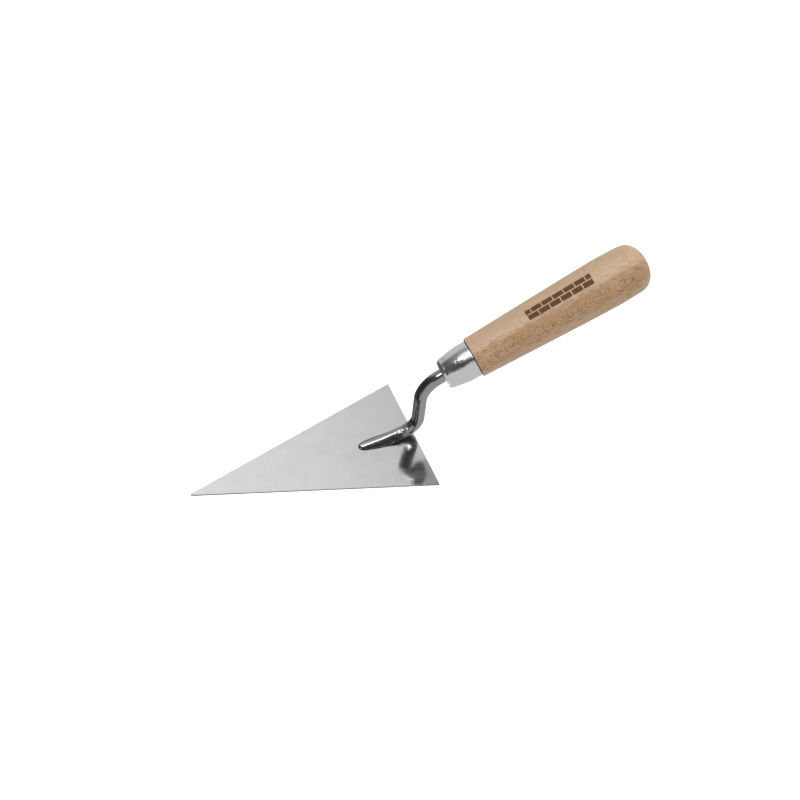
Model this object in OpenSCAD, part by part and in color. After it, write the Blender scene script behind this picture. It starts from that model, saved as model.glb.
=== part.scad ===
// Pointed trowel for inside corners: flat triangular blade, welded gooseneck
// shank, plated ferrule and turned wooden handle.
//
// Frame, in millimetres: the origin lies on the blade's flat underside, one
// third of the blade's length ahead of the heel edge. +X runs from the blade's
// point towards the handle, +Y is across the blade, and +Z is square to the
// blade, towards the handle.

/* [Blade] */
// Length from the heel edge to the rounded point
blade_length = 140; // [100:1:200]
// Width of the straight heel edge
blade_width = 80; // [50:1:120]
// Sheet thickness
blade_thickness = 1; // [0.6:0.1:2]
// Radius of the blunted point
point_radius = 0.65; // [0.3:0.05:3]

/* [Shank foot] */
// Distance from the foot's rounded nose to the heel edge
foot_reach = 36.5; // [25:0.5:60]
// Distance from the start of the first bend to the heel edge
bend_setback = 9.8; // [5:0.1:20]
// Foot width just behind its nose
foot_nose_width = 5; // [3:0.1:8]
// Foot width where it turns into the neck
foot_heel_width = 8.6; // [7:0.1:14]
// Foot height above the blade just behind its nose
foot_nose_height = 1.7; // [1:0.1:4]
// Foot height above the blade where it turns into the neck
foot_heel_height = 6; // [5:0.1:10]
// How sharp the foot's ridge is: 1 is a plain roof, 2 is half an ellipse
foot_ridge_power = 1.6; // [1.1:0.05:2]

/* [Shank neck] */
// Bar diameter at the first bend and up the riser
neck_diameter = 7.6; // [5:0.1:10]
// Bar diameter where the neck enters the ferrule
neck_end_diameter = 8.4; // [6:0.1:12]
// Height of the bar's centre above the blade's underside at the foot
bar_height = 5.05; // [4:0.05:8]
// Centre radius of the first bend, from the foot up to the riser
bend_1_radius = 10.6; // [7:0.1:20]
// Slope of the riser above the blade
riser_angle = 94; // [70:1:110]
// Length of the straight riser
riser_length = 18.9; // [8:0.1:40]
// Centre radius of the second bend, from the riser to the handle's axis
bend_2_radius = 17.8; // [10:0.1:30]
// Slope of the handle's axis above the blade
grip_angle = 27.2; // [15:0.1:45]
// Straight bar between the second bend and the ferrule
neck_run = 2; // [0.5:0.1:8]

/* [Shank tang] */
// Depth of the tang behind the ferrule's front face
tang_length = 62; // [35:1:90]
// Tang diameter just before its blunt end
tang_end_diameter = 5; // [3:0.1:6]
// Play between the tang and the hole that it is driven into
tang_play = 0.05; // [0.02:0.01:0.2]

/* [Weld beads] */
// Leg of each ground fillet bead beside the foot
weld_leg = 0.8; // [0.5:0.1:2]
// Distance from the foot's nose to the front end of each bead
weld_start = 2.5; // [1:0.5:8]
// Distance from the foot's nose to the back end of each bead
weld_end = 25.5; // [15:0.5:35]

/* [Ferrule] */
// Ferrule length
ferrule_length = 20.5; // [15:0.5:35]
// Outside diameter at the handle end
ferrule_diameter = 22.4; // [16:0.1:30]
// Outside diameter just behind the rounded front lip
ferrule_front_diameter = 19; // [14:0.1:28]
// Diameter of the flat on the front face
ferrule_face_diameter = 13.6; // [10:0.1:20]
// Length of the rounded front lip
lip_length = 2.8; // [1:0.1:5]
// Length of the cylindrical skirt next to the wood
skirt_length = 5.5; // [2:0.5:12]
// Sheet thickness
ferrule_wall = 0.9; // [0.5:0.1:1.5]

/* [Handle] */
// Length from the ferrule's front face to the handle's butt
handle_end = 133.1; // [100:0.1:160]
// Wood diameter beside the ferrule
shoulder_diameter = 24.7; // [20:0.1:32]
// Largest wood diameter, near the butt
swell_diameter = 30.6; // [24:0.1:38]
// Distance from the ferrule's front face to the largest diameter
swell_at = 107.8; // [80:0.1:130]
// Wood diameter where the butt's round begins
butt_diameter = 29.7; // [20:0.1:36]
// Length of the rounded butt
butt_length = 11.7; // [6:0.1:20]
// Size of the broken edge beside the ferrule
shoulder_chamfer = 0.5; // [0.2:0.1:2]

/* [Hidden] */
$fn = 96;
half_width = blade_width / 2;
heel_x = blade_length / 3;
// The blade's long edges are tangent to the blunted point
point_centre = heel_x - blade_length + point_radius;
point_reach = norm([heel_x - point_centre, half_width]);
edge_angle = atan2(half_width, heel_x - point_centre) - asin(point_radius / point_reach);

// The shank's spine: lengths along it at which each stretch ends
foot_run = foot_reach - bend_setback;
bend_1_end = foot_run + arc(bend_1_radius, riser_angle);
riser_end = bend_1_end + riser_length;
bend_2_end = riser_end + arc(bend_2_radius, riser_angle - grip_angle);
ferrule_at = bend_2_end + neck_run;
shank_end = ferrule_at + tang_length;
tang_tip = 3;
// The foot's underside is ground a little hollow, so that it bears on its edges
foot_hollow = 0.02;
// Bend angle by which the foot's ridge has become a round bar
round_angle = 34;
round_start = foot_run - 11;
round_end = foot_run + arc(bend_1_radius, round_angle);

// Points around the bar, and steps along each stretch of it
bar_sides = 24;
nose_steps = 6;
foot_steps = 14;
bend_steps = 14;
run_steps = 3;

// Points that turn the spine: start of the foot, then the end of each stretch
foot_point = [heel_x - foot_reach, bar_height];
bend_1_point = foot_point + [foot_run, 0];
bend_1_centre = bend_1_point + [0, bend_1_radius];
riser_point = bend_1_centre + bend_1_radius * heading(riser_angle - 90);
bend_2_point = riser_point + riser_length * heading(riser_angle);
bend_2_centre = bend_2_point + bend_2_radius * heading(riser_angle - 90);
grip_point = bend_2_centre + bend_2_radius * heading(grip_angle + 90);
ferrule_point = grip_point + neck_run * heading(grip_angle);

function arc(radius, angle) = radius * angle * PI / 180;
function heading(angle) = [cos(angle), sin(angle)];
function mix(a, b, t) = a + (b - a) * t;
function part_of(x, a, b) = min(1, max(0, (x - a) / (b - a)));
function smooth(t) = t * t * (3 - 2 * t);
function signed_power(x, p) = sign(x) * pow(abs(x), p);

// Slope of the spine at length s along it
function spine_angle(s) =
    s < foot_run ? 0
    : s < bend_1_end ? (s - foot_run) / arc(bend_1_radius, 1)
    : s < riser_end ? riser_angle
    : s < bend_2_end ? riser_angle - (s - riser_end) / arc(bend_2_radius, 1)
    : grip_angle;

// Point of the spine at length s along it, as [x, z]
function spine_point(s) =
    s < foot_run ? foot_point + [s, 0]
    : s < bend_1_end ? bend_1_centre + bend_1_radius * heading(spine_angle(s) - 90)
    : s < riser_end ? riser_point + (s - bend_1_end) * heading(riser_angle)
    : s < bend_2_end ? bend_2_centre + bend_2_radius * heading(spine_angle(s) + 90)
    : grip_point + (s - bend_2_end) * heading(grip_angle);

// Radius of the round bar, with the tapered tang and its blunt end
function tang_radius(depth) = mix(neck_end_diameter, tang_end_diameter, depth / tang_length) / 2;
function tip_scale(s) = sqrt(1 - 0.92 * pow(part_of(s, shank_end - tang_tip, shank_end), 2));
function bar_radius(s) =
    s > ferrule_at ? tang_radius(s - ferrule_at) * tip_scale(s)
    : mix(neck_diameter, neck_end_diameter, smooth(part_of(s, riser_end, ferrule_at))) / 2;

// Half width and height of the foot, rounded off at its nose
function nose_scale(s) = sqrt(1 - pow(1 - part_of(s, -0.02, foot_nose_width / 2), 2));
function foot_half_width(s) =
    mix(foot_nose_width, foot_heel_width, sin(90 * part_of(s, 0, foot_run))) / 2 * nose_scale(s);
function foot_height(s) =
    mix(foot_nose_height, foot_heel_height, part_of(s, 0, foot_run)) * nose_scale(s);

// A point of the bar's section at angle q from its top, as [across, above the spine]
function round_section(s, q) = bar_radius(s) * [sin(q), cos(q)];
function foot_section(s, q) =
    let (base = blade_thickness - bar_height)
    let (across = signed_power(sin(q), 2 / foot_ridge_power) * foot_half_width(s))
    abs(q) <= 90
        ? [across, base + pow(cos(q), 2 / foot_ridge_power) * foot_height(s)]
        : [sin(q) * foot_half_width(s), base - foot_hollow * cos(q) * nose_scale(s)];
function bar_section(s, q) =
    mix(foot_section(s, q), round_section(s, q), smooth(part_of(s, round_start, round_end)));

// A point of the section at length s, carried to its place on the spine
function placed(s, point) =
    let (centre = spine_point(s), angle = spine_angle(s))
    [centre[0] - point[1] * sin(angle), point[0], centre[1] + point[1] * cos(angle)];
function steps(a, b, count) = [for (i = [0 : count - 1]) mix(a, b, i / count)];

// Lengths along the spine that carry a section
spine_stops = concat(
    [for (i = [0 : nose_steps - 1]) foot_nose_width / 2 * (1 - cos(90 * i / nose_steps))],
    steps(foot_nose_width / 2, foot_run, foot_steps),
    steps(foot_run, bend_1_end, bend_steps),
    steps(bend_1_end, riser_end, run_steps),
    steps(riser_end, bend_2_end, bend_steps),
    steps(bend_2_end, ferrule_at, run_steps),
    steps(ferrule_at, shank_end - tang_tip, run_steps),
    [for (i = [0 : nose_steps]) shank_end - tang_tip + tang_tip * sin(90 * i / nose_steps)]
);

// The weld beads share the foot's own sections, so that they meet it face to face
weld_stops = [for (s = spine_stops) if (s > weld_start && s < weld_end) s];

// Skins a list of closed sections that all have the same number of points
module skin(sections) {
    sides = len(sections[0]);
    last = len(sections) - 1;
    walls = [
        for (i = [0 : last - 1], j = [0 : sides - 1])
            let (k = (j + 1) % sides)
            each [
                [i * sides + j, (i + 1) * sides + k, i * sides + k],
                [i * sides + j, (i + 1) * sides + j, (i + 1) * sides + k]
            ]
    ];
    front = [for (j = [0 : sides - 1]) j];
    back = [for (j = [sides - 1 : -1 : 0]) last * sides + j];
    polyhedron([for (section = sections) each section], concat(walls, [front, back]), 10);
}

// Places children with their Z axis along the handle, from the ferrule's front face
module on_grip() {
    translate([ferrule_point[0], 0, ferrule_point[1]])
        rotate([0, 90 - grip_angle, 0])
            children();
}

module blade() {
    corner = [heel_x, half_width];
    tangent = [point_centre, 0] + point_radius * heading(90 + edge_angle);
    color([0.76, 0.77, 0.78])
        linear_extrude(blade_thickness)
            union() {
                polygon([
                    corner,
                    tangent,
                    [tangent[0], -tangent[1]],
                    [corner[0], -corner[1]]
                ]);
                translate([point_centre, 0])
                    circle(point_radius);
            }
}

module shank() {
    color([0.52, 0.53, 0.54])
        skin([
            for (s = spine_stops)
                [for (j = [0 : bar_sides - 1]) placed(s, bar_section(s, 180 - 360 * j / bar_sides))]
        ]);
}

// One fillet bead: side is 1 for +Y and -1 for -Y
module weld_bead(side) {
    facet = 360 / bar_sides;
    last = len(weld_stops) - 1;
    color([0.45, 0.45, 0.46])
        skin([
            for (i = [0 : last])
                let (s = weld_stops[i])
                let (leg = weld_leg * sqrt(sin(180 * mix(0.04, 0.96, i / last))))
                let (root = bar_section(s, 90))
                let (upper = bar_section(s, 90 - facet))
                let (toe = [root[0] + leg, root[1]])
                let (loop = [root, upper, mix(toe, upper, 0.5) - [0.05, 0.05] * leg, toe])
                [
                    for (j = [0 : 3])
                        let (p = side < 0 ? loop[j] : loop[3 - j])
                        placed(s, [side * p[0], p[1]])
                ]
        ]);
}

module weld_left() {
    weld_bead(1);
}

module weld_right() {
    weld_bead(-1);
}

// Outside of the ferrule from its front face to the wood, as [radius, depth]
lip_steps = 6;
skirt_at = ferrule_length - skirt_length;
lip_width = (ferrule_front_diameter - ferrule_face_diameter) / 2;
function lip(inset) = [
    for (i = [0 : lip_steps])
        let (q = 90 * i / lip_steps)
        [
            ferrule_face_diameter / 2 - inset / 2 + (lip_width - inset / 2) * sin(q),
            lip_length - (lip_length - inset) * cos(q)
        ]
];
function ferrule_outline(inset) = concat(
    lip(inset),
    [
        [ferrule_diameter / 2 - inset, skirt_at],
        [ferrule_diameter / 2 - inset, ferrule_length]
    ]
);

module ferrule() {
    inside = ferrule_outline(ferrule_wall);
    hole = neck_end_diameter / 2 + tang_play;
    color([0.70, 0.71, 0.72])
        on_grip()
            rotate_extrude()
                polygon(concat(
                    [[hole, 0]],
                    ferrule_outline(0),
                    [for (i = [len(inside) - 1 : -1 : 0]) inside[i]],
                    [[hole, ferrule_wall]]
                ));
}

// Radius of the wood at a depth behind the ferrule's front face
butt_at = handle_end - butt_length;
taper_power = 1.15;
fall_power = 1.4;
butt_power = 2.3;
function wood_radius(depth) =
    depth < swell_at
        ? mix(swell_diameter, shoulder_diameter,
              pow((swell_at - depth) / (swell_at - ferrule_length), taper_power)) / 2
    : depth < butt_at
        ? mix(swell_diameter, butt_diameter,
              pow((depth - swell_at) / (butt_at - swell_at), fall_power)) / 2
    : butt_diameter / 2
        * pow(1 - pow((depth - butt_at) / butt_length, butt_power), 1 / butt_power);

module handle() {
    taper_steps = 12;
    fall_steps = 6;
    butt_steps = 12;
    spigot = ferrule_outline(ferrule_wall);
    mouth = tang_radius(ferrule_wall) + tang_play;
    color([0.80, 0.68, 0.55])
        on_grip()
            rotate_extrude()
                polygon(concat(
                    [[mouth, ferrule_wall]],
                    spigot,
                    [[shoulder_diameter / 2 - shoulder_chamfer, ferrule_length]],
                    [
                        for (d = steps(ferrule_length + shoulder_chamfer, swell_at, taper_steps))
                            [wood_radius(d), d]
                    ],
                    [for (d = steps(swell_at, butt_at, fall_steps)) [wood_radius(d), d]],
                    [
                        for (i = [0 : butt_steps - 1])
                            let (d = butt_at + butt_length * sin(90 * i / butt_steps))
                            [wood_radius(d), d]
                    ],
                    [[0, handle_end]],
                    [[0, tang_length + 0.5]],
                    [[tang_end_diameter / 2 + tang_play, tang_length + 0.5]],
                    [[tang_end_diameter / 2 + tang_play, tang_length]]
                ));
}

blade();
shank();
weld_left();
weld_right();
ferrule();
handle();
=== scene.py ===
"""Pointed trowel for inside corners, built as an add-on and run as a script.

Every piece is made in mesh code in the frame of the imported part: metres, +X
from the blade's point to the handle, +Z square to the blade.
"""

import math

import bpy
from bpy.props import FloatProperty, FloatVectorProperty, PointerProperty
from mathutils import Matrix, Vector


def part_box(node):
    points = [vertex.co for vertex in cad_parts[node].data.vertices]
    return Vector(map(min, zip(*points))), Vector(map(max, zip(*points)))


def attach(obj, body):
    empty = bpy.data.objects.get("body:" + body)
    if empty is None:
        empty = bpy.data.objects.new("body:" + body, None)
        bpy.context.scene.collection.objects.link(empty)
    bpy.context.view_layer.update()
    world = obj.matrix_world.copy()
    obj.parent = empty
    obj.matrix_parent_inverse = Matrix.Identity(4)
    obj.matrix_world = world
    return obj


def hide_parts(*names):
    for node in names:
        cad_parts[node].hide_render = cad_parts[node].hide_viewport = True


bl_info = {
    "name": "Pointed Trowel",
    "version": (1, 0, 0),
    "blender": (4, 5, 0),
    "location": "View3D > Sidebar > Trowel",
    "description": "Builds a pointed trowel piece by piece round its packed frame",
    "category": "Add Mesh",
}

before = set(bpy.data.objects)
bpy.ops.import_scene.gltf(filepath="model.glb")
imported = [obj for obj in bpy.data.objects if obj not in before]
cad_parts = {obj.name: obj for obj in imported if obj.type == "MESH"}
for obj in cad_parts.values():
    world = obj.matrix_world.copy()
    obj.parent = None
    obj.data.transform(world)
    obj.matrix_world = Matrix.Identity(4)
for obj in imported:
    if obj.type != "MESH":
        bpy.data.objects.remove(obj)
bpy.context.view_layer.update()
BLADE_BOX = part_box("blade")
HEEL_X = BLADE_BOX[1][0]
BLADE_TOP = BLADE_BOX[1][2]
MM = 0.001


# ---------------------------------------------------------------- helpers


def hex_linear(code):
    """An sRGB hex colour as a linear RGBA tuple."""
    values = [int(code[i : i + 2], 16) / 255 for i in (1, 3, 5)]
    return tuple(
        v / 12.92 if v <= 0.04045 else ((v + 0.055) / 1.055) ** 2.4 for v in values
    ) + (1.0,)


def mix(a, b, t):
    return a + (b - a) * t


def part_of(x, a, b):
    """How far x lies from a to b, held between 0 and 1."""
    return min(1.0, max(0.0, (x - a) / (b - a)))


def smooth(t):
    return t * t * (3 - 2 * t)


def toward(azimuth, elevation):
    """The unit vector at an azimuth and elevation, where azimuth 0 lies along -Y."""
    level = math.cos(elevation)
    return Vector((math.sin(azimuth) * level, -math.cos(azimuth) * level, math.sin(elevation)))


def add_node(tree, kind, inputs=(), output=0, **settings):
    """Adds a node, sets its properties, fills its inputs and gives one of its outputs.

    inputs maps input names or places to values or to other nodes' outputs, or
    lists them in the order of the node's sockets.
    """
    made = tree.nodes.new("ShaderNode" + kind)
    for name, value in settings.items():
        setattr(made, name, value)
    if not isinstance(inputs, dict):
        inputs = dict(enumerate(inputs))
    for name, value in inputs.items():
        if isinstance(value, bpy.types.NodeSocket):
            tree.links.new(value, made.inputs[name])
        else:
            made.inputs[name].default_value = value
    return made.outputs[output] if made.outputs else None


def new_material(name):
    """A node material with an empty tree."""
    made = bpy.data.materials.new(name)
    made.use_nodes = True
    made.node_tree.nodes.clear()
    return made, made.node_tree


def mesh_piece(name, points, faces, material, matrix=None, sharp_angle=None):
    """A smooth mesh object that rides on the root body, its points moved by a matrix."""
    mesh = bpy.data.meshes.new(name)
    mesh.from_pydata([tuple(p) for p in points], [], faces)
    if matrix is not None:
        mesh.transform(matrix)
    mesh.update()
    mesh.shade_smooth()
    if sharp_angle is not None:
        mesh.set_sharp_from_angle(angle=math.radians(sharp_angle))
    piece = bpy.data.objects.new(name, mesh)
    bpy.context.scene.collection.objects.link(piece)
    mesh.materials.append(material)
    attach(piece, "root")
    return piece


def skin(rings, close_ends=True):
    """Points and faces of a tube through rings of equal size."""
    sides = len(rings[0])
    points = [p for ring in rings for p in ring]
    faces = []
    for i in range(len(rings) - 1):
        low, high = i * sides, (i + 1) * sides
        for j in range(sides):
            k = (j + 1) % sides
            faces.append((low + j, low + k, high + k, high + j))
    if close_ends:
        last = (len(rings) - 1) * sides
        faces.append(tuple(reversed(range(sides))))
        faces.append(tuple(last + j for j in range(sides)))
    return points, faces


def lathe(outline, sides):
    """Points and faces of a closed outline of (radius, depth) turned round Z."""
    points, faces = [], []
    count = len(outline)
    for j in range(sides):
        q = 2 * math.pi * j / sides
        points += [(r * math.cos(q), r * math.sin(q), d) for r, d in outline]
    for j in range(sides):
        k = (j + 1) % sides
        for i in range(count):
            n = (i + 1) % count
            faces.append((j * count + i, k * count + i, k * count + n, j * count + n))
    return points, faces


# --------------------------------------------------------------- settings


def length_of(name, description, default):
    return FloatProperty(name=name, description=description, default=default, unit="LENGTH")


def angle_of(name, description, degrees):
    turn = math.radians(degrees)
    return FloatProperty(name=name, description=description, default=turn, unit="ROTATION")


def colour_of(name, description, code):
    return FloatVectorProperty(
        name=name, description=description, default=hex_linear(code), size=4, subtype="COLOR"
    )


class TROWEL_PG_blade(bpy.types.PropertyGroup):
    """Sizes and colours of the blade."""

    length: length_of("Length", "Heel edge to the blunted point", BLADE_BOX[1][0] - BLADE_BOX[0][0])
    width: length_of("Width", "Length of the straight heel edge", BLADE_BOX[1][1] - BLADE_BOX[0][1])
    point_radius: length_of("Point radius", "Radius of the blunted point", 0.00065)
    corner_radius: length_of("Corner radius", "Radius of the two heel corners", 0.0004)
    edge_break: length_of("Edge break", "Width of the broken edge", 0.00012)
    steel: colour_of("Steel", "Colour of the polished sheet", "#C8C8C8")
    steel_dull: colour_of("Dull steel", "Colour of its duller clouds", "#C4C4C4")
    steel_cut: colour_of("Cut steel", "Colour of the sheared edges", "#77797B")


class TROWEL_PG_shank(bpy.types.PropertyGroup):
    """Sizes and colours of the forged shank and its welds."""

    foot_reach: length_of("Foot reach", "Foot nose to the heel edge", 0.0365)
    bend_setback: length_of("Bend setback", "Start of the first bend to the heel edge", 0.0098)
    nose_width: length_of("Nose width", "Foot width behind its nose", 0.005)
    heel_width: length_of("Heel width", "Foot width where it turns up", 0.0086)
    nose_height: length_of("Nose height", "Foot height behind its nose", 0.0017)
    heel_height: length_of("Heel height", "Foot height where it turns up", 0.006)
    ridge_power: FloatProperty(
        name="Ridge power", description="1 is a plain roof, 2 half an ellipse", default=1.6
    )
    bar_height: length_of("Bar height", "Bar centre above the underside", 0.00505)
    bar_radius: length_of("Bar radius", "Radius up the riser", 0.0038)
    bar_end_radius: length_of("Bar end radius", "Radius at the ferrule", 0.0042)
    bend_1: length_of("First bend", "Centre radius", 0.0106)
    bend_2: length_of("Second bend", "Centre radius", 0.0178)
    riser_length: length_of("Riser length", "Straight part of the riser", 0.0189)
    riser_slope: angle_of("Riser slope", "Slope above the blade", 94)
    grip_slope: angle_of("Grip slope", "Slope of the handle's axis", 27.2)
    neck_run: length_of("Neck run", "Straight bar before the ferrule", 0.002)
    weld_leg: length_of("Weld leg", "Leg of each fillet bead", 0.0008)
    weld_start: length_of("Weld start", "Foot nose to the front of each bead", 0.0025)
    weld_end: length_of("Weld end", "Foot nose to the back of each bead", 0.0255)
    steel: colour_of("Steel", "Colour of the polished forging", "#A6A7A8")
    weld: colour_of("Weld", "Colour of the ground bead", "#8A8A88")
    # dark colour of the weld scale, also used as painted shade under the first bend and as a painted
    # dark reflection on the riser
    scale: colour_of("Scale", "Colour of black weld scale", "#3E3E3F")


class TROWEL_PG_ferrule(bpy.types.PropertyGroup):
    """Sizes and colour of the ferrule."""

    length: length_of("Length", "Ferrule length", 0.0205)
    radius: length_of("Radius", "Radius of the skirt", 0.0112)
    front_radius: length_of("Front radius", "Radius behind the lip", 0.0095)
    face_radius: length_of("Face radius", "Radius of the front flat", 0.0068)
    lip_length: length_of("Lip length", "Length of the rounded lip", 0.0028)
    skirt_length: length_of("Skirt length", "Cylindrical part beside the wood", 0.0055)
    rim: length_of("Rim", "Length of the rolled rim", 0.0005)
    wall: length_of("Wall", "Sheet thickness", 0.0009)
    plating: colour_of("Plating", "Colour of the nickel plating", "#E0E1E2")


class TROWEL_PG_handle(bpy.types.PropertyGroup):
    """Sizes and colours of the turned handle."""

    end: length_of("End", "Ferrule front face to the butt", 0.1331)
    shoulder_radius: length_of("Shoulder radius", "Wood radius beside the ferrule", 0.01235)
    shoulder_round: length_of("Shoulder round", "Radius of the shoulder's edge", 0.0005)
    spigot: length_of("Spigot", "Length of wood modelled inside the ferrule", 0.004)
    swell_radius: length_of("Swell radius", "Largest wood radius", 0.0153)
    swell_at: length_of("Swell at", "Ferrule front face to the largest radius", 0.1078)
    butt_radius: length_of("Butt radius", "Radius where the butt's round begins", 0.01485)
    butt_length: length_of("Butt length", "Length of the rounded butt", 0.0117)
    # paler and greyer than the flat face: partly the beech's own tone, partly painted sheen and light
    # along the handle's sides
    wood: colour_of("Wood", "Beech on its quarter faces", "#D8B897")
    wood_flat: colour_of("Flat wood", "Beech on its flat face", "#C9A27A")
    wood_pale: colour_of("Pale wood", "Palest clouds of the beech", "#DEC2A4")
    wood_dark: colour_of("Dark grain", "Late wood and ray flecks", "#8E6540")
    # this colour is painted shade in the joint where the wood meets the ferrule
    painted_joint_shade: colour_of("Grime", "Dirt at the ferrule's joint", "#3F3830")
    burn: colour_of("Burn", "Colour of the burnt strip", "#5C3B16")
    mark_at: length_of("Mark at", "Ferrule front face to the strip's middle", 0.079)
    mark_length: length_of("Mark length", "Length of the burnt strip", 0.042)
    mark_height: length_of("Mark height", "Height of the burnt strip", 0.0075)


class TROWEL_PG_stage(bpy.types.PropertyGroup):
    """Camera, floor and light."""

    azimuth: angle_of("Azimuth", "0 looks along +Y", -32.75)
    elevation: angle_of("Elevation", "Above the blade's plane", 51.82)
    roll: angle_of("Roll", "Turn about the line of sight", 11.885)
    distance: length_of("Distance", "Camera to the aim point", 0.6141)
    aim: FloatVectorProperty(
        name="Aim",
        description="Point at the centre of the view",
        default=(0.03219, -0.00022, 0.04),
        size=3,
        unit="LENGTH",
    )
    lens: FloatProperty(name="Lens", description="Focal length in millimetres", default=47.55)
    floor: colour_of("Floor", "Colour of the floor", "#FFFFFF")
    floor_glow: FloatProperty(
        name="Floor glow", description="Light that comes up from the floor", default=0.66
    )
    wall_glow: FloatProperty(
        name="Wall glow", description="Light from the studio's walls", default=0.66
    )


class TROWEL_PG_all(bpy.types.PropertyGroup):
    """All settings of the trowel."""

    blade: PointerProperty(type=TROWEL_PG_blade)
    shank: PointerProperty(type=TROWEL_PG_shank)
    ferrule: PointerProperty(type=TROWEL_PG_ferrule)
    handle: PointerProperty(type=TROWEL_PG_handle)
    stage: PointerProperty(type=TROWEL_PG_stage)


# ---------------------------------------------------------- shank's spine


class Spine:
    """The shank's centre line in the XZ plane, by length along it."""

    def __init__(self, s):
        self.s = s
        self.foot_run = s.foot_reach - s.bend_setback
        self.bend_1_end = self.foot_run + s.bend_1 * s.riser_slope
        self.riser_end = self.bend_1_end + s.riser_length
        self.bend_2_end = self.riser_end + s.bend_2 * (s.riser_slope - s.grip_slope)
        self.ferrule_at = self.bend_2_end + s.neck_run
        self.start = Vector((HEEL_X - s.foot_reach, s.bar_height))
        self.bend_1_centre = self.start + Vector((self.foot_run, s.bend_1))
        self.riser_start = self.bend_1_centre + s.bend_1 * self.heading(s.riser_slope - math.pi / 2)
        riser_top = self.riser_start + s.riser_length * self.heading(s.riser_slope)
        self.bend_2_centre = riser_top + s.bend_2 * self.heading(s.riser_slope - math.pi / 2)
        self.grip_start = self.bend_2_centre + s.bend_2 * self.heading(s.grip_slope + math.pi / 2)

    @staticmethod
    def heading(angle):
        return Vector((math.cos(angle), math.sin(angle)))

    def angle(self, at):
        if at < self.foot_run:
            return 0.0
        if at < self.bend_1_end:
            return (at - self.foot_run) / self.s.bend_1
        if at < self.riser_end:
            return self.s.riser_slope
        if at < self.bend_2_end:
            return self.s.riser_slope - (at - self.riser_end) / self.s.bend_2
        return self.s.grip_slope

    def point(self, at):
        turn = self.angle(at)
        if at < self.foot_run:
            return self.start + Vector((at, 0))
        if at < self.bend_1_end:
            return self.bend_1_centre + self.s.bend_1 * self.heading(turn - math.pi / 2)
        if at < self.riser_end:
            return self.riser_start + (at - self.bend_1_end) * self.heading(turn)
        if at < self.bend_2_end:
            return self.bend_2_centre + self.s.bend_2 * self.heading(turn + math.pi / 2)
        return self.grip_start + (at - self.bend_2_end) * self.heading(turn)

    def place(self, at, across, above):
        """A point of the section at length at, in the part's frame."""
        centre, turn = self.point(at), self.angle(at)
        return Vector((centre[0] - above * math.sin(turn), across, centre[1] + above * math.cos(turn)))

    def ferrule_point(self):
        centre = self.point(self.ferrule_at)
        return Vector((centre[0], 0, centre[1]))

    def grip_matrix(self):
        """Z runs along the handle from the ferrule's front face, -X points up."""
        turn = Matrix.Rotation(math.pi / 2 - self.s.grip_slope, 4, "Y")
        return Matrix.Translation(self.ferrule_point()) @ turn


def foot_shape(spine, at):
    """Half width and height of the foot at a length along the spine."""
    s = spine.s
    # the nose starts a hair early, so that its first section isn't a single point
    blunt = 0.00001
    nose = math.sqrt(max(0.0, 1 - (1 - part_of(at, -blunt, s.nose_width / 2)) ** 2))
    along = part_of(at, 0, spine.foot_run)
    width = mix(s.nose_width, s.heel_width, math.sin(math.pi / 2 * along)) / 2
    return width * nose, mix(s.nose_height, s.heel_height, along) * nose


def bar_section(spine, at, q):
    """A point of the bar's section at angle q from its top: across and above."""
    s = spine.s
    width, height = foot_shape(spine, at)
    base = BLADE_TOP - s.bar_height
    power = 2 / s.ridge_power
    if abs(q) <= math.pi / 2:
        across = math.copysign(abs(math.sin(q)) ** power, q) * width
        ridge = (across, base + max(0.0, math.cos(q)) ** power * height)
    else:
        ridge = (math.sin(q) * width, base)
    grown = smooth(part_of(at, spine.riser_end, spine.ferrule_at))
    radius = mix(s.bar_radius, s.bar_end_radius, grown)
    # the dies leave the riser a rounded square, which fades out along the upper bend
    squared = smooth(part_of(at, spine.foot_run, spine.bend_1_end))
    squared *= 1 - smooth(part_of(at, spine.riser_end, spine.bend_2_end))
    flatness, girth = 3, 0.95
    corner = (abs(math.cos(q)) ** flatness + abs(math.sin(q)) ** flatness) ** (-1 / flatness)
    radius *= mix(1.0, girth * corner, squared)
    # the foot's roof turns into the bar from ahead of the first bend to part way round it
    ahead, up_the_bend = 0.011, s.bend_1 * math.radians(34)
    round_off = smooth(part_of(at, spine.foot_run - ahead, spine.foot_run + up_the_bend))
    return (
        mix(ridge[0], radius * math.sin(q), round_off),
        mix(ridge[1], radius * math.cos(q), round_off),
    )


# -------------------------------------------------------------- materials

# A Mapping node of this sort has the size of one feature as its scale. A Map
# Range node lists its value, where it starts and ends, and the two results.
PATTERN = {"vector_type": "TEXTURE"}
EASED = {"interpolation_type": "SMOOTHSTEP"}
COLOURS = {"data_type": "RGBA", "output": 2}


def millimetres(tree):
    """A point of the piece in the part's frame, in millimetres."""
    place = add_node(tree, "TexCoord", output="Object")
    return add_node(tree, "VectorMath", {0: place, "Scale": 1 / MM}, operation="SCALE")


def grip_millimetres(tree, spine):
    """The point in the grip's frame: Z along the handle from the ferrule's face, -X up."""
    tilt = (0, math.pi / 2 - spine.s.grip_slope, 0)
    inputs = {0: millimetres(tree), "Location": spine.ferrule_point() / MM, "Rotation": tilt}
    return add_node(tree, "Mapping", inputs, **PATTERN)


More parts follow.
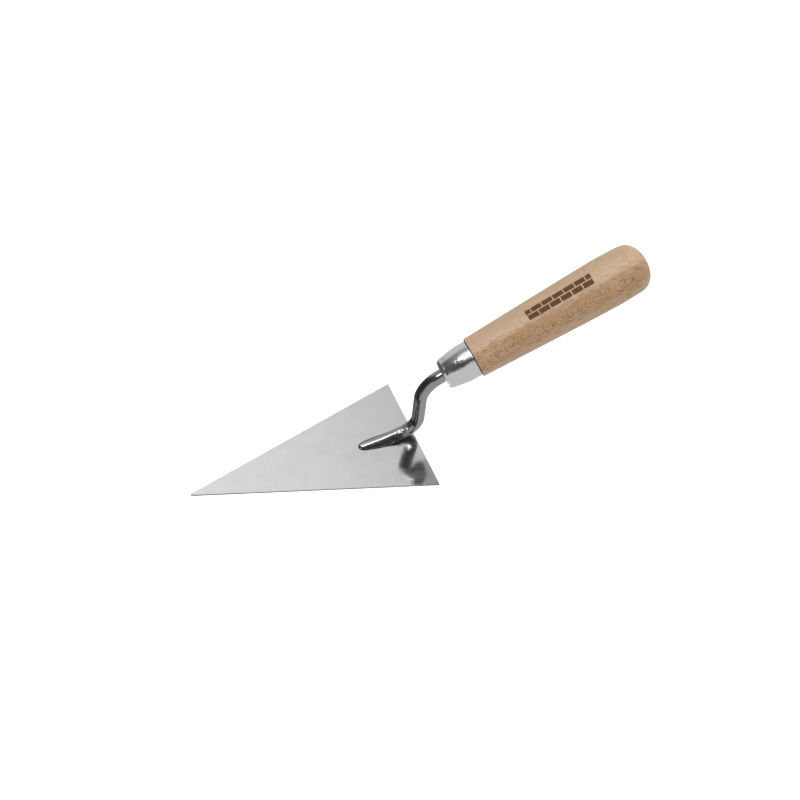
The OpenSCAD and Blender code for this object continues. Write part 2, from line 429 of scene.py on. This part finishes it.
def polished_stainless(blade):
    """Cold-rolled stainless sheet, mirror polished on a belt.

    The eye gets a slightly blurred mirror, with faint cloudy patches where
    the polish is uneven and very fine hairlines along the blade. Round the
    foot the heat of the weld has left the sheet a touch duller.
    """
    made, tree = new_material("polished_stainless_sheet")
    mm = millimetres(tree)
    patches = add_node(tree, "Mapping", {0: mm, "Scale": (14, 10, 10)}, **PATTERN)
    clouds = add_node(tree, "TexNoise", {0: patches, "Scale": 1, "Detail": 4, "Roughness": 0.6})
    # belt lines are about 0.05 mm apart: drawn ten times as coarse so that they show
    belt = {0: mm, "Rotation": (0, 0, math.radians(4)), "Scale": (30, 0.5, 1)}
    belt = add_node(tree, "Mapping", belt, **PATTERN)
    lines = add_node(tree, "TexNoise", {0: belt, "Scale": 1, "Detail": 2})

    foot = {0: mm, "Location": ((HEEL_X - 0.022) / MM, 0, 0), "Scale": (26, 13, 13)}
    foot = add_node(tree, "Mapping", foot, **PATTERN)
    from_foot = add_node(tree, "VectorMath", (foot,), "Value", operation="LENGTH")
    rough = add_node(tree, "MapRange", (clouds, 0.3, 0.7, 0.07, 0.115), **EASED)
    for value in (
        add_node(tree, "MapRange", (from_foot, 1.3, 0.5, 0.0, 0.07), **EASED),
        add_node(tree, "MapRange", (lines, 0.35, 0.75, 0.0, 0.03), **EASED),
    ):
        rough = add_node(tree, "Math", (rough, value), operation="ADD")

    dull = add_node(tree, "MapRange", (clouds, 0.35, 0.75), **EASED)
    tone = add_node(tree, "Mix", {0: dull, 6: blade.steel, 7: blade.steel_dull}, **COLOURS)
    normal = add_node(tree, "NewGeometry", output="Normal")
    rise = add_node(tree, "SeparateXYZ", (normal,), "Z")
    rise = add_node(tree, "Math", (rise,), operation="ABSOLUTE")
    edge = add_node(tree, "MapRange", (rise, 0.8, 0.5), **EASED)
    tone = add_node(tree, "Mix", {0: edge, 6: tone, 7: blade.steel_cut}, **COLOURS)

    fine = add_node(tree, "Bump", {"Strength": 0.05, "Distance": 0.01 * MM, "Height": lines})
    wavy = {"Strength": 0.3, "Distance": 0.025 * MM, "Height": clouds, "Normal": fine}
    wavy = add_node(tree, "Bump", wavy)
    steel = {"Base Color": tone, "Metallic": 1, "Roughness": rough, "Normal": wavy}
    add_node(tree, "OutputMaterial", (add_node(tree, "BsdfPrincipled", steel),))
    return made


def buffed_forging(shank):
    """Drop-forged carbon steel bar, linished and buffed.

    The eye gets a dark mirror with long soft flats left by the belt. One
    flank of the foot keeps its black weld scale with bright nicks in it, and
    the root of the foot shows short cross cuts of the grinding wheel.
    """
    made, tree = new_material("buffed_forged_steel")
    mm = millimetres(tree)
    x, _, z = add_node(tree, "SeparateXYZ", (mm,)).node.outputs
    heel = HEEL_X / MM
    long = add_node(tree, "Mapping", {0: mm, "Scale": (7, 4, 7)}, **PATTERN)
    flats = add_node(tree, "TexNoise", {0: long, "Scale": 1, "Detail": 1})
    grain = add_node(tree, "Mapping", {0: mm, "Scale": (0.9, 0.5, 0.5)}, **PATTERN)
    grit = add_node(tree, "TexNoise", {0: grain, "Scale": 1, "Detail": 4, "Roughness": 0.65})
    wheel = {0: mm, "Rotation": (0, 0, math.radians(35)), "Scale": (0.9, 2.4, 1.6)}
    wheel = add_node(tree, "Mapping", wheel, **PATTERN)
    cuts = add_node(tree, "TexVoronoi", {0: wheel, "Scale": 1, "Randomness": 1})

    # scale covers the steep part of the near flank and stops where the bar turns up
    normal = add_node(tree, "NewGeometry", output="Normal")
    facing_x, facing_y, facing_z = add_node(tree, "SeparateXYZ", (normal,)).node.outputs
    ragged = add_node(tree, "Math", (grit, -0.35, facing_y), operation="MULTIPLY_ADD")
    flank = add_node(tree, "MapRange", (ragged, -0.74, -0.80), **EASED)
    on_foot = add_node(tree, "MapRange", (x, heel - 6.5, heel - 11.0), **EASED)
    flank = add_node(tree, "Math", (flank, on_foot), operation="MULTIPLY")
    # the underside of the first bend takes the dark scale colour too, as painted shade where the bend
    # hangs low over the blade
    down = add_node(tree, "MapRange", (facing_z, 0.0, -0.45), **EASED)
    low = add_node(tree, "MapRange", (z, 12.0, 8.0), **EASED)
    painted_shade_under_bend = add_node(tree, "Math", (down, low), operation="MULTIPLY")
    # real weld scale on the near flank, painted shade under the first bend
    scale = add_node(tree, "Math", (flank, painted_shade_under_bend), operation="MAXIMUM")
    # the side of the riser that looks along the blade is painted part way to the dark scale colour, a
    # painted dark reflection
    inner = add_node(tree, "MapRange", (facing_x, -0.55, -0.80, 0.0, 0.6), **EASED)
    on_riser = add_node(tree, "MapRange", (z, 11.0, 16.0), **EASED)
    inner = add_node(tree, "Math", (inner, on_riser), operation="MULTIPLY")
    nicks = add_node(tree, "MapRange", (grit, 0.60, 0.66), **EASED)
    black = add_node(tree, "Math", (scale, nicks), operation="SUBTRACT", use_clamp=True)
    black = add_node(tree, "Math", (black, inner), operation="MAXIMUM")
    tone = add_node(tree, "Mix", {0: black, 6: shank.steel, 7: shank.scale}, **COLOURS)
    rough = add_node(tree, "MapRange", (grit, 0.3, 0.7, 0.09, 0.17), **EASED)
    rough = add_node(tree, "Math", (scale, 0.22, rough), operation="MULTIPLY_ADD")

    # the wheel's cross cuts lie where the foot turns into the bend
    root = add_node(tree, "MapRange", (x, heel - 14.0, heel - 11.0), **EASED)
    for value in (
        add_node(tree, "MapRange", (x, heel - 3.0, heel - 6.0), **EASED),
        add_node(tree, "MapRange", (z, 13.0, 10.0), **EASED),
    ):
        root = add_node(tree, "Math", (root, value), operation="MULTIPLY")
    bump = add_node(tree, "Bump", {"Strength": 0.35, "Distance": 0.35 * MM, "Height": flats})
    for strength, depth, height in ((root, 0.35, cuts), (scale, 0.3, grit)):
        layer = {"Strength": strength, "Distance": depth * MM, "Height": height, "Normal": bump}
        bump = add_node(tree, "Bump", layer)
    steel = {"Base Color": tone, "Metallic": 1, "Roughness": rough, "Normal": bump}
    add_node(tree, "OutputMaterial", (add_node(tree, "BsdfPrincipled", steel),))
    return made


def ground_weld(shank):
    """Mild steel weld bead, dressed with a coarse wheel.

    The eye gets a rough dark grey with bright specks where the wheel cut.
    """
    made, tree = new_material("ground_weld_steel")
    grain = {0: millimetres(tree), "Scale": (0.8, 0.5, 0.5)}
    grain = add_node(tree, "Mapping", grain, **PATTERN)
    pits = add_node(tree, "TexNoise", {0: grain, "Scale": 1, "Detail": 4, "Roughness": 0.65})
    bump = add_node(tree, "Bump", {"Strength": 0.9, "Distance": 0.3 * MM, "Height": pits})
    bright = add_node(tree, "MapRange", (pits, 0.5, 0.62), **EASED)
    tone = add_node(tree, "Mix", {0: bright, 6: shank.scale, 7: shank.weld}, **COLOURS)
    rough = add_node(tree, "MapRange", (pits, 0.4, 0.65, 0.42, 0.2), **EASED)
    steel = {"Base Color": tone, "Metallic": 1, "Roughness": rough, "Normal": bump}
    add_node(tree, "OutputMaterial", (add_node(tree, "BsdfPrincipled", steel),))
    return made


def nickel_plate(ferrule, spine):
    """Deep-drawn steel cap with bright nickel plating.

    The eye gets a bright mirror broken by the orange peel of the drawn
    metal, by faint rings round the cap and by a few shallow dings.
    """
    made, tree = new_material("bright_nickel_plate")
    mm = grip_millimetres(tree, spine)
    skin_size = add_node(tree, "Mapping", {0: mm, "Scale": (1.3, 1.3, 2.0)}, **PATTERN)
    peel = add_node(tree, "TexNoise", {0: skin_size, "Scale": 1, "Detail": 3, "Roughness": 0.7})
    knocks = add_node(tree, "Mapping", {0: mm, "Scale": (5, 5, 8)}, **PATTERN)
    dings = add_node(tree, "TexVoronoi", {0: knocks, "Scale": 1, "Randomness": 1})
    dings = add_node(tree, "MapRange", (dings, 0.05, 0.3), **EASED)
    # the rings left by spinning run round the cap, about a millimetre apart
    spun = add_node(tree, "Mapping", {0: mm, "Scale": (7, 7, 0.8)}, **PATTERN)
    rings = add_node(tree, "TexNoise", {0: spun, "Scale": 1, "Detail": 3, "Roughness": 0.75})
    bump = add_node(tree, "Bump", {"Strength": 0.8, "Distance": 0.06 * MM, "Height": rings})
    for strength, depth, height in ((0.8, 0.10, peel), (0.5, 0.08, dings)):
        layer = {"Strength": strength, "Distance": depth * MM, "Height": height, "Normal": bump}
        bump = add_node(tree, "Bump", layer)
    rough = add_node(tree, "MapRange", (peel, 0.3, 0.7, 0.06, 0.16), **EASED)
    plate = {"Base Color": ferrule.plating, "Metallic": 1, "Roughness": rough, "Normal": bump}
    add_node(tree, "OutputMaterial", (add_node(tree, "BsdfPrincipled", plate),))
    return made


def year_rings(tree, mm, flat_face, slope):
    """Late wood of the year rings, strongest on the handle's flat face.

    The rings are cylinders round a pith that lies beside the handle and leans
    to its axis, so they run out on the flat face as nested arcs.
    """
    # in millimetres: axis to pith, a year of slow growth, and how often growth varies
    pith, ring_width, unevenness = 70, 0.40, 1.7
    centre = (-pith * math.cos(flat_face), -pith * math.sin(flat_face), 0)
    log = {0: mm, "Location": centre, "Rotation": (0, -slope, flat_face)}
    log = add_node(tree, "Mapping", log, **PATTERN)
    growth = add_node(tree, "Mapping", {0: mm, "Scale": (6, 6, 12)}, **PATTERN)
    drift = {0: growth, "Scale": 1, "Detail": 4, "Roughness": 0.6}
    drift = add_node(tree, "TexNoise", drift, "Color")
    wander = add_node(tree, "VectorMath", (drift, (0.6, 0.6, 0), log), operation="MULTIPLY_ADD")
    across = add_node(tree, "VectorMath", (wander, (1, 1, 0)), operation="MULTIPLY")
    depth = add_node(tree, "VectorMath", (across,), "Value", operation="LENGTH")
    uneven = {"W": depth, "Scale": 1 / unevenness, "Detail": 1}
    uneven = add_node(tree, "TexNoise", uneven, noise_dimensions="1D")
    count = add_node(tree, "Math", (depth, 1 / ring_width, uneven), operation="MULTIPLY_ADD")
    year = add_node(tree, "Math", (count,), operation="FRACT")
    ring = add_node(tree, "ValToRGB", (year,))
    stops = ring.node.color_ramp.elements
    stops.remove(stops[-1])
    stops[0].color = (0.05, 0.05, 0.05, 1)
    for place, shade in ((0.35, 0), (0.6, 0.35), (0.8, 1), (0.97, 0.15)):
        stops.new(place).color = (shade, shade, shade, 1)

    turned = {0: mm, "Rotation": (0, 0, flat_face)}
    turned = add_node(tree, "Mapping", turned, **PATTERN)
    beside = add_node(tree, "SeparateXYZ", (turned,), "Y")
    patch = add_node(tree, "Mapping", {0: mm, "Scale": (1.4, 1.4, 4)}, **PATTERN)
    broken = add_node(tree, "TexNoise", {0: patch, "Scale": 1, "Detail": 2, "Roughness": 0.6})
    for value in (
        add_node(tree, "MapRange", (beside, -11.0, -4.0, 0.12, 1.0), **EASED),
        add_node(tree, "MapRange", (broken, 0.38, 0.6, 0.2, 1.0), **EASED),
        add_node(tree, "MapRange", (beside, 6.5, 3.5, 0.15, 1.0), **EASED),
    ):
        ring = add_node(tree, "Math", (ring, value), operation="MULTIPLY")
    return ring


def burnt_strip(tree, mm, handle):
    """Two courses of bricks laid along the grain on the handle's upper side."""
    upper_side = math.radians(187)
    top = {0: mm, "Rotation": (0, 0, upper_side)}
    top = add_node(tree, "Mapping", top, **PATTERN)
    x, y, z = add_node(tree, "SeparateXYZ", (top,)).node.outputs
    bearing = add_node(tree, "Math", (y, x), operation="ARCTAN2")
    # the wood under the strip is a little slimmer than the swell
    radius = 0.95 * handle.swell_radius / MM
    length, height = handle.mark_length / MM, handle.mark_height / MM
    start = handle.mark_at / MM - length / 2
    along = add_node(tree, "Math", (z, start), operation="SUBTRACT")
    up = add_node(tree, "Math", (bearing, radius, height / 2), operation="MULTIPLY_ADD")
    wall = add_node(tree, "CombineXYZ", (along, up))
    bricks = {
        0: wall,
        "Scale": 1,
        "Mortar Size": 0.35,
        "Mortar Smooth": 0.25,
        "Brick Width": length / 6,
        "Row Height": height / 2,
    }
    joints = add_node(tree, "TexBrick", bricks, "Fac", offset=0.5)
    soft = 0.1
    burn = add_node(tree, "MapRange", (along, -soft, soft), **EASED)
    for value in (
        add_node(tree, "MapRange", (along, length + soft, length - soft), **EASED),
        add_node(tree, "MapRange", (up, -soft, soft), **EASED),
        add_node(tree, "MapRange", (up, height + soft, height - soft), **EASED),
    ):
        burn = add_node(tree, "Math", (burn, value), operation="MULTIPLY")
    return add_node(tree, "Math", (burn, joints), operation="SUBTRACT", use_clamp=True)


def turned_beech(handle, ferrule, spine):
    """Steamed beech, turned, fine sanded and thinly lacquered.

    The eye gets a pale pink-brown with straight fine grain on the quarter
    faces, nested arcs where the year rings run out on the flat face, and the
    short dark flecks of beech's rays. The quarter faces are paler and greyer
    than the flat face, partly the beech's own tone and partly painted sheen
    and light along the handle's sides. A strip of brickwork is burnt in.
    """
    made, tree = new_material("turned_beech")
    mm = grip_millimetres(tree, spine)
    flat_face, slope = math.radians(233), math.radians(7.5)
    ring = year_rings(tree, mm, flat_face, slope)

    # how squarely a point faces the flat side or its opposite
    turned = {0: mm, "Rotation": (0, 0, flat_face)}
    turned = add_node(tree, "Mapping", turned, **PATTERN)
    x, y, z = add_node(tree, "SeparateXYZ", (turned,)).node.outputs
    facing = add_node(tree, "Math", (y, x), operation="ARCTAN2")
    facing = add_node(tree, "Math", (facing,), operation="COSINE")
    facing = add_node(tree, "Math", (facing,), operation="ABSOLUTE")

    # ray flecks are 0.1 mm wide: drawn about five times as coarse so that they show
    rays = {0: mm, "Rotation": (0, slope, 0), "Scale": (0.55, 0.55, 5)}
    rays = add_node(tree, "Mapping", rays, **PATTERN)
    rays = add_node(tree, "TexNoise", {0: rays, "Scale": 1, "Detail": 1, "Roughness": 0.4})
    rays = add_node(tree, "MapRange", (rays, 0.56, 0.68), **EASED)
    cover = add_node(tree, "MapRange", (facing, 0.6, 0.95, 0.22, 1.0), **EASED)
    fleck = add_node(tree, "Math", (rays, cover), operation="MULTIPLY")
    # pores are about 0.05 mm wide: drawn nine times as coarse so that they show
    thread = add_node(tree, "Mapping", {0: mm, "Scale": (0.45, 0.45, 14)}, **PATTERN)
    fibre = add_node(tree, "TexNoise", {0: thread, "Scale": 1, "Detail": 3, "Roughness": 0.6})
    sweep = add_node(tree, "Mapping", {0: mm, "Scale": (9, 9, 40)}, **PATTERN)
    cloud = add_node(tree, "TexNoise", {0: sweep, "Scale": 1, "Detail": 2})
    burn = burnt_strip(tree, mm, handle)

    # the quarter faces take the paler, greyer colour: partly the beech's own tone, partly painted
    # sheen and light along the handle's sides
    flat = add_node(tree, "MapRange", (facing, 0.8, 0.99), **EASED)
    tone = add_node(tree, "Mix", {0: flat, 6: handle.wood, 7: handle.wood_flat}, **COLOURS)
    shoulder = ferrule.length / MM
    for cover, colour in (
        (add_node(tree, "MapRange", (cloud, 0.35, 0.7, 0.0, 0.3), **EASED), handle.wood_pale),
        (add_node(tree, "MapRange", (fibre, 0.3, 0.75, 0.0, 0.28), **EASED), handle.wood_dark),
        (add_node(tree, "Math", (ring, 0.8), operation="MULTIPLY"), handle.wood_dark),
        (add_node(tree, "Math", (fleck, 0.75), operation="MULTIPLY"), handle.wood_dark),
        (add_node(tree, "Math", (burn, 0.96), operation="MULTIPLY"), handle.burn),
        # painted shade where the wood meets the cap, darkest at the shoulder
        (
            add_node(tree, "MapRange", (z, shoulder + 0.7, shoulder + 0.1, 0, 0.75), **EASED),
            handle.painted_joint_shade,
        ),
    ):
        tone = add_node(tree, "Mix", {0: cover, 6: tone, 7: colour}, **COLOURS)

    rough = add_node(tree, "MapRange", (fibre, 0.3, 0.7, 0.36, 0.48), **EASED)
    rough = add_node(tree, "Math", (burn, 0.4, rough), operation="MULTIPLY_ADD")
    bump = {"Strength": 0.4, "Distance": 0.04 * MM, "Height": fibre}
    bump = add_node(tree, "Bump", bump, invert=True)
    for strength, depth, height in ((0.5, 0.03, ring), (0.7, 0.2, burn)):
        layer = {"Strength": strength, "Distance": depth * MM, "Height": height, "Normal": bump}
        bump = add_node(tree, "Bump", layer, invert=True)
    wood = {"Base Color": tone, "IOR": 1.5, "Roughness": rough, "Normal": bump}
    add_node(tree, "OutputMaterial", (add_node(tree, "BsdfPrincipled", wood),))
    return made


# ----------------------------------------------------------------- pieces


class TROWEL_OT_blade(bpy.types.Operator):
    """Cut the flat triangular blade and break its edges."""

    bl_idname = "trowel.blade"
    bl_label = "Blade"

    def execute(self, context):
        b = context.scene.trowel.blade
        half = b.width / 2
        centre = HEEL_X - b.length + b.point_radius
        reach = math.hypot(HEEL_X - centre, half)
        edge = math.atan2(half, HEEL_X - centre) - math.asin(b.point_radius / reach)
        turn = math.pi / 2 + edge
        tip_steps, corner_steps = 12, 6

        def outline(inset):
            """The triangle moved inwards, with its rounded point and corners."""
            points = []
            tip = b.point_radius - inset
            for i in range(tip_steps + 1):
                q = mix(turn, 2 * math.pi - turn, i / tip_steps)
                points.append((centre + tip * math.cos(q), tip * math.sin(q)))
            corner = b.corner_radius - inset
            x = HEEL_X - b.corner_radius
            y = half - b.corner_radius * math.tan(turn / 2)
            for side, first, last in ((-1, -turn, 0), (1, 0, turn)):
                for i in range(corner_steps + 1):
                    q = mix(first, last, i / corner_steps)
                    points.append((x + corner * math.cos(q), side * y + corner * math.sin(q)))
            return points

        inset = b.edge_break
        low = BLADE_BOX[0][2]
        levels = ((low, inset), (low + inset, 0), (BLADE_TOP - inset, 0), (BLADE_TOP, inset))
        rings = [[(x, y, z) for x, y in outline(inward)] for z, inward in levels]
        points, faces = skin(rings)
        piece = mesh_piece("blade_sheet", points, faces, polished_stainless(b), sharp_angle=25)
        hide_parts("blade")
        return {"FINISHED"}


class TROWEL_OT_shank(bpy.types.Operator):
    """Forge the foot, the gooseneck and the end that enters the ferrule."""

    bl_idname = "trowel.shank"
    bl_label = "Shank"

    def execute(self, context):
        s = context.scene.trowel.shank
        spine = Spine(s)
        sides, step, hidden_end = 96, 0.0005, 0.004
        nose, nose_steps = s.nose_width / 2, 10
        turns = [math.pi / 2 * i / nose_steps for i in range(nose_steps)]
        stops = [nose * (1 - math.cos(turn)) for turn in turns]
        at = nose
        while at < spine.ferrule_at + hidden_end:
            stops.append(at)
            at += step
        rings = []
        for at in stops:
            ring = []
            for j in range(sides):
                q = math.pi - 2 * math.pi * j / sides
                ring.append(spine.place(at, *bar_section(spine, at, q)))
            rings.append(ring)
        points, faces = skin(rings)
        piece = mesh_piece("gooseneck_shank", points, faces, buffed_forging(s))
        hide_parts("shank")
        return {"FINISHED"}


class TROWEL_OT_welds(bpy.types.Operator):
    """Lay a ground fillet bead along each side of the foot."""

    bl_idname = "trowel.welds"
    bl_label = "Weld beads"

    def execute(self, context):
        s = context.scene.trowel.shank
        spine = Spine(s)
        material = ground_weld(s)
        count = 70
        hollow = 0.08
        for side, name in ((1, "left"), (-1, "right")):
            rings = []
            for i in range(count + 1):
                along = i / count
                at = mix(s.weld_start, s.weld_end, along)
                # each bead tapers towards its ends, but never to a point
                leg = s.weld_leg * math.sqrt(math.sin(math.pi * mix(0.04, 0.96, along)))
                # angles on the foot's section, from the blade's face up its flank
                climb = (90, 82, 75)
                root, middle, upper = (bar_section(spine, at, math.radians(q)) for q in climb)
                toe = (root[0] + leg, root[1])
                loop = [root, middle, upper]
                for t in (0.25, 0.5, 0.75):
                    sag = hollow * leg * math.sin(math.pi * t)
                    loop.append((mix(upper[0], toe[0], t) - sag, mix(upper[1], toe[1], t) - sag))
                loop.append(toe)
                ring = [spine.place(at, side * a, b) for a, b in loop]
                rings.append(ring if side < 0 else ring[::-1])
            points, faces = skin(rings)
            piece = mesh_piece(f"weld_bead_{name}", points, faces, material)
            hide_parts(f"weld_{name}")
        return {"FINISHED"}


class TROWEL_OT_ferrule(bpy.types.Operator):
    """Draw the plated cap that grips the handle's front end."""

    bl_idname = "trowel.ferrule"
    bl_label = "Ferrule"

    def execute(self, context):
        f = context.scene.trowel.ferrule
        s = context.scene.trowel.shank
        spine = Spine(s)
        skirt = f.length - f.skirt_length
        lip_steps, cone_steps, rim_steps = 14, 16, 4
        swelling = 1.5

        def outline(inset):
            """The lip, the slightly swelling cone, the skirt and its rolled rim."""
            points = []
            lip = f.front_radius - f.face_radius - inset / 2
            for i in range(lip_steps + 1):
                q = math.pi / 2 * i / lip_steps
                radius = f.face_radius - inset / 2 + lip * math.sin(q)
                points.append((radius, f.lip_length - (f.lip_length - inset) * math.cos(q)))
            for i in range(1, cone_steps + 1):
                t = i / cone_steps
                swell = 1 - (1 - t) ** swelling
                radius = mix(f.front_radius, f.radius, swell) - inset
                points.append((radius, mix(f.lip_length, skirt, t)))
            straight = f.length - f.rim
            places = [i / rim_steps for i in range(1, rim_steps + 1)]
            points += [(f.radius - inset, mix(skirt, straight, t)) for t in places]
            for t in places:
                q = math.pi / 2 * t
                roll = 0.6 * f.rim * (1 - math.cos(q))
                points.append((f.radius - inset - roll, straight + f.rim * math.sin(q)))
            return points

        clearance, chamfer, sides = 0.00005, 0.0001, 128
        hole = s.bar_end_radius + clearance
        bore = [(hole, f.wall), (hole, chamfer), (hole + chamfer, 0)]
        loop = bore + outline(0) + outline(f.wall)[::-1]
        points, faces = lathe(loop[::-1], sides)
        plate, place = nickel_plate(f, spine), spine.grip_matrix()
        piece = mesh_piece("ferrule_cap", points, faces, plate, place, sharp_angle=40)
        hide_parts("ferrule")
        return {"FINISHED"}


def wood_radius(h, ferrule_length, depth):
    """Radius of the turned wood at a depth behind the ferrule's front face."""
    # how fast each stretch curves: the grip, the stretch behind its swell and the butt
    grip, back, butt = 1.15, 1.4, 2.3
    butt_at = h.end - h.butt_length
    if depth < h.swell_at:
        t = (h.swell_at - depth) / (h.swell_at - ferrule_length)
        return mix(h.swell_radius, h.shoulder_radius, t**grip)
    if depth < butt_at:
        t = (depth - h.swell_at) / (butt_at - h.swell_at)
        return mix(h.swell_radius, h.butt_radius, t**back)
    t = min(1.0, (depth - butt_at) / h.butt_length)
    return h.butt_radius * max(0.0, 1 - t**butt) ** (1 / butt)


class TROWEL_OT_handle(bpy.types.Operator):
    """Turn the wooden handle with its swelling grip and rounded butt."""

    bl_idname = "trowel.handle"
    bl_label = "Handle"

    def execute(self, context):
        h = context.scene.trowel.handle
        f = context.scene.trowel.ferrule
        spine = Spine(context.scene.trowel.shank)
        sides, round_steps, grip_steps, butt_steps = 160, 4, 60, 28
        # the shoulder's face keeps this far clear of the ferrule's rim
        gap = 0.00002
        butt_at = h.end - h.butt_length
        grip_at = f.length + 3 * h.shoulder_round
        spigot = f.radius - f.wall
        face = h.shoulder_radius - h.shoulder_round
        outline = [(spigot, f.length - h.spigot), (spigot, f.length), (face, f.length + gap)]
        for i in range(1, round_steps + 1):
            q = math.pi / 2 * i / round_steps
            radius = face + h.shoulder_round * math.sin(q)
            outline.append((radius, f.length + h.shoulder_round * (1 - math.cos(q))))
        depths = [mix(grip_at, butt_at, i / grip_steps) for i in range(grip_steps)]
        angles = [math.pi / 2 * i / butt_steps for i in range(butt_steps)]
        depths += [butt_at + h.butt_length * math.sin(q) for q in angles]
        outline += [(wood_radius(h, f.length, depth), depth) for depth in depths]
        turns = [2 * math.pi * j / sides for j in range(sides)]
        rings = [[(r * math.cos(q), r * math.sin(q), d) for q in turns] for r, d in outline]
        points, faces = skin(rings, close_ends=False)
        points.append((0, 0, h.end))
        last = (len(rings) - 1) * sides
        faces += [(last + j, last + (j + 1) % sides, len(points) - 1) for j in range(sides)]
        faces.append(tuple(reversed(range(sides))))
        wood, place = turned_beech(h, f, spine), spine.grip_matrix()
        piece = mesh_piece("turned_handle", points, faces, wood, place, sharp_angle=50)
        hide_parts("handle")
        return {"FINISHED"}


# The studio round the trowel. Each card is a round soft-edged panel: its
# azimuth and elevation, the angles where its edge starts and ends, and how
# bright it is. The last one that covers a direction wins.
STUDIO_CARDS = [
    ("softbox spill on the back wall", 185, 60, 2, 29, 1.25),
    ("dim doorway behind on the left", -153, 43, 9, 20, 0.36),
    ("dark side of the room, far end", -133, -21, 28, 44, 0.15),
    ("dark side of the room", -110, 12, 28, 43, 0.12),
    ("dark flag beside the camera", -88, 35, 18, 29, 0.10),
    ("camera and its stand", -43, 40, 13, 21, 0.07),
    ("dark gap below the softbox", -8, 52, 8, 14, 0.10),
    ("dark curtain right of the camera", 26, 46, 14, 23, 0.10),
    ("overhead softbox, left half", -98, 63, 6, 11, 7.5),
    ("overhead softbox, middle", -38, 77, 7, 11, 6.5),
    ("overhead softbox, right half", 36, 72, 7, 12, 6.5),
]


def studio_world(stage):
    """Soft cards that the metal mirrors, with plain white behind the floor."""
    world = bpy.data.worlds.new("studio")
    world.use_nodes = True
    tree = world.node_tree
    tree.nodes.clear()
    way = add_node(tree, "TexCoord", output="Generated")
    height = add_node(tree, "SeparateXYZ", (way,), "Z")
    light = (height, -0.25, 0.25, stage.floor_glow, stage.wall_glow)
    light = add_node(tree, "MapRange", light, **EASED)
    for _, azimuth, elevation, inner, outer, glow in STUDIO_CARDS:
        centre = toward(math.radians(azimuth), math.radians(elevation))
        near = add_node(tree, "VectorMath", (way, centre), "Value", operation="DOT_PRODUCT")
        rim, middle = math.cos(math.radians(outer)), math.cos(math.radians(inner))
        cover = add_node(tree, "MapRange", (near, rim, middle), **EASED)
        light = add_node(tree, "Mix", {0: cover, 2: light, 3: glow})
    seen = add_node(tree, "LightPath", output="Is Camera Ray")
    light = add_node(tree, "Mix", {0: seen, 2: light, 3: 1.0})
    glow = add_node(tree, "Background", {"Color": (1, 1, 1, 1), "Strength": light})
    add_node(tree, "OutputWorld", (glow,))
    return world


class TROWEL_OT_stage(bpy.types.Operator):
    """Lay the pale floor, hang the soft lights and set the camera."""

    bl_idname = "trowel.stage"
    bl_label = "Stage"

    def execute(self, context):
        st = context.scene.trowel.stage
        scene = context.scene
        scene.view_settings.view_transform = "Standard"
        scene.world = studio_world(st)

        board, tree = new_material("matt_white_board")
        paint = {"Roughness": 0.9, "Emission Strength": 0.6}
        paint.update({"Base Color": st.floor, "Emission Color": st.floor})
        add_node(tree, "OutputMaterial", (add_node(tree, "BsdfPrincipled", paint),))
        mesh = bpy.data.meshes.new("floor")
        size, drop = 3.0, 0.0002
        corners = [(-size, -size, 0), (size, -size, 0), (size, size, 0), (-size, size, 0)]
        mesh.from_pydata(corners, [], [(0, 1, 2, 3)])
        floor = bpy.data.objects.new("floor", mesh)
        floor.location.z = -drop
        # the cards stand in for the floor in the metal, so its own shade never shows there
        floor.visible_glossy = False
        floor.visible_diffuse = False
        mesh.materials.append(board)
        scene.collection.objects.link(floor)

        back = toward(st.azimuth, st.elevation)
        data = bpy.data.cameras.new("camera")
        data.lens = st.lens
        data.sensor_width = 36
        data.clip_start, data.clip_end = 0.01, 20
        camera = bpy.data.objects.new("camera", data)
        scene.collection.objects.link(camera)
        camera.matrix_world = (
            Matrix.Translation(Vector(st.aim) + back * st.distance)
            @ back.to_track_quat("Z", "Y").to_matrix().to_4x4()
            @ Matrix.Rotation(st.roll, 4, "Z")
        )
        scene.camera = camera
        return {"FINISHED"}


class TROWEL_PT_sidebar(bpy.types.Panel):
    """Lists the pieces in the order in which they are made."""

    bl_label = "Pointed Trowel"
    bl_idname = "TROWEL_PT_sidebar"
    bl_space_type = "VIEW_3D"
    bl_region_type = "UI"
    bl_category = "Trowel"

    def draw(self, context):
        for _, step in STEPS:
            self.layout.operator(step.bl_idname, text=step.bl_label)


STEPS = [
    ("blade", TROWEL_OT_blade),
    ("shank", TROWEL_OT_shank),
    ("welds", TROWEL_OT_welds),
    ("ferrule", TROWEL_OT_ferrule),
    ("handle", TROWEL_OT_handle),
    ("stage", TROWEL_OT_stage),
]
CLASSES = [
    TROWEL_PG_blade,
    TROWEL_PG_shank,
    TROWEL_PG_ferrule,
    TROWEL_PG_handle,
    TROWEL_PG_stage,
    TROWEL_PG_all,
    TROWEL_PT_sidebar,
] + [step for _, step in STEPS]


def register():
    for cls in CLASSES:
        bpy.utils.register_class(cls)
    bpy.types.Scene.trowel = PointerProperty(type=TROWEL_PG_all)


def unregister():
    del bpy.types.Scene.trowel
    for cls in reversed(CLASSES):
        bpy.utils.unregister_class(cls)


def main():
    register()
    for name, _ in STEPS:
        getattr(bpy.ops.trowel, name)()


if __name__ == "__main__":
    main()
